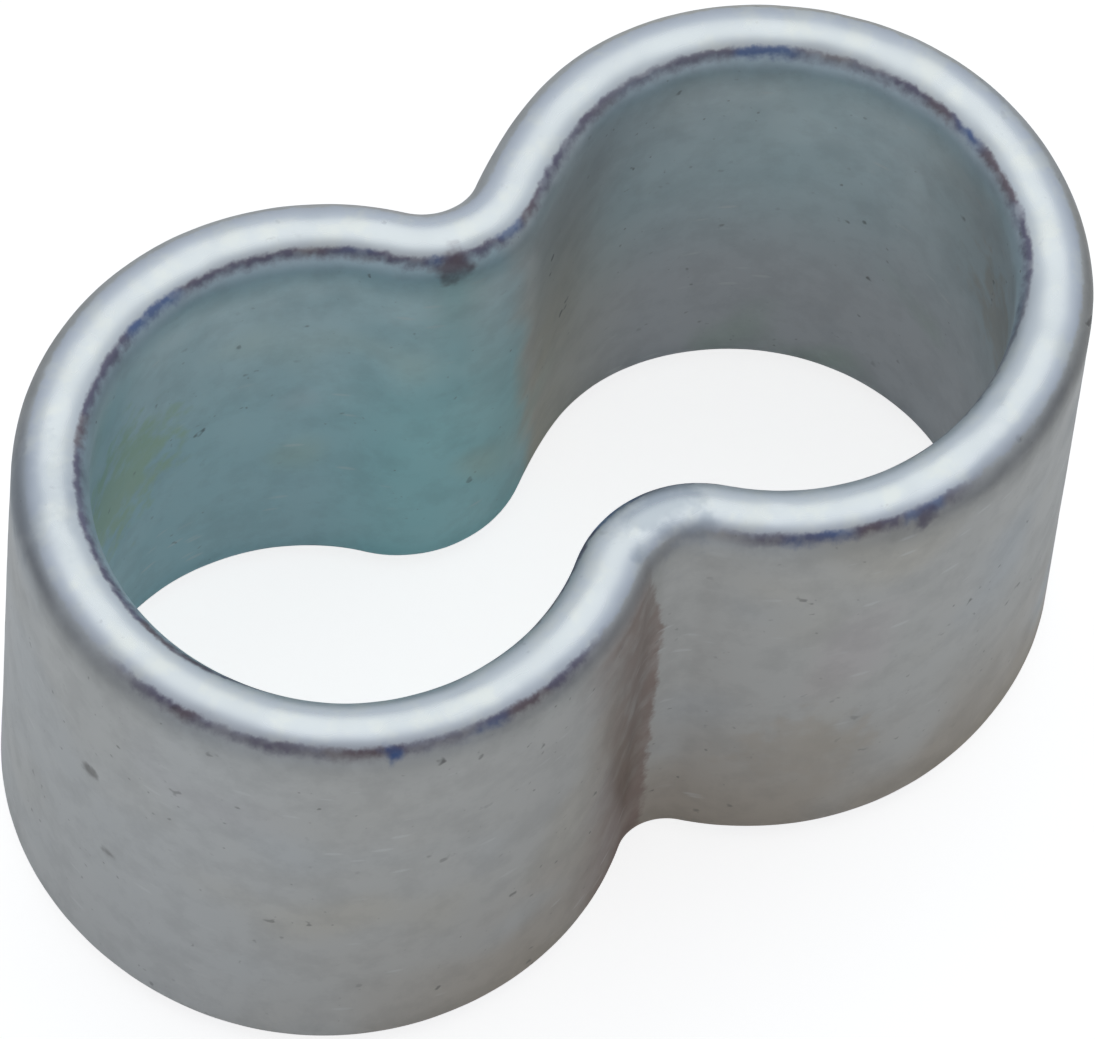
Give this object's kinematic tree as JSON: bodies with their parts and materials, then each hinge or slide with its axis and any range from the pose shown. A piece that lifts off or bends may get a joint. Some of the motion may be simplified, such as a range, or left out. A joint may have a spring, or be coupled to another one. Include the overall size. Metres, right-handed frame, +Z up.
{
  "type": "figure-eight cord clamp",
  "caption": "Figure-eight band of zinc-plated sheet steel with rounded rims, whose round eyes take the strands of an elastic cord and are squeezed shut to hold a loop.",
  "frame": {"origin": "centre of the band's foot: on the plane of the lower rim, halfway between the two eyes", "axes": "+Z up along the eyes, which is the way the cords run; +X from one eye to the other; +Y across the neck"},
  "size_m": [0.0192, 0.0108, 0.01],
  "materials": {
    "zinc_plated_steel": "tumbled sheet steel, bright zinc plate with a faint blue-green and violet passivation tint"
  },
  "bodies": {
    "root": {"clamp_band": "zinc_plated_steel"}
  },
  "joints": []
}
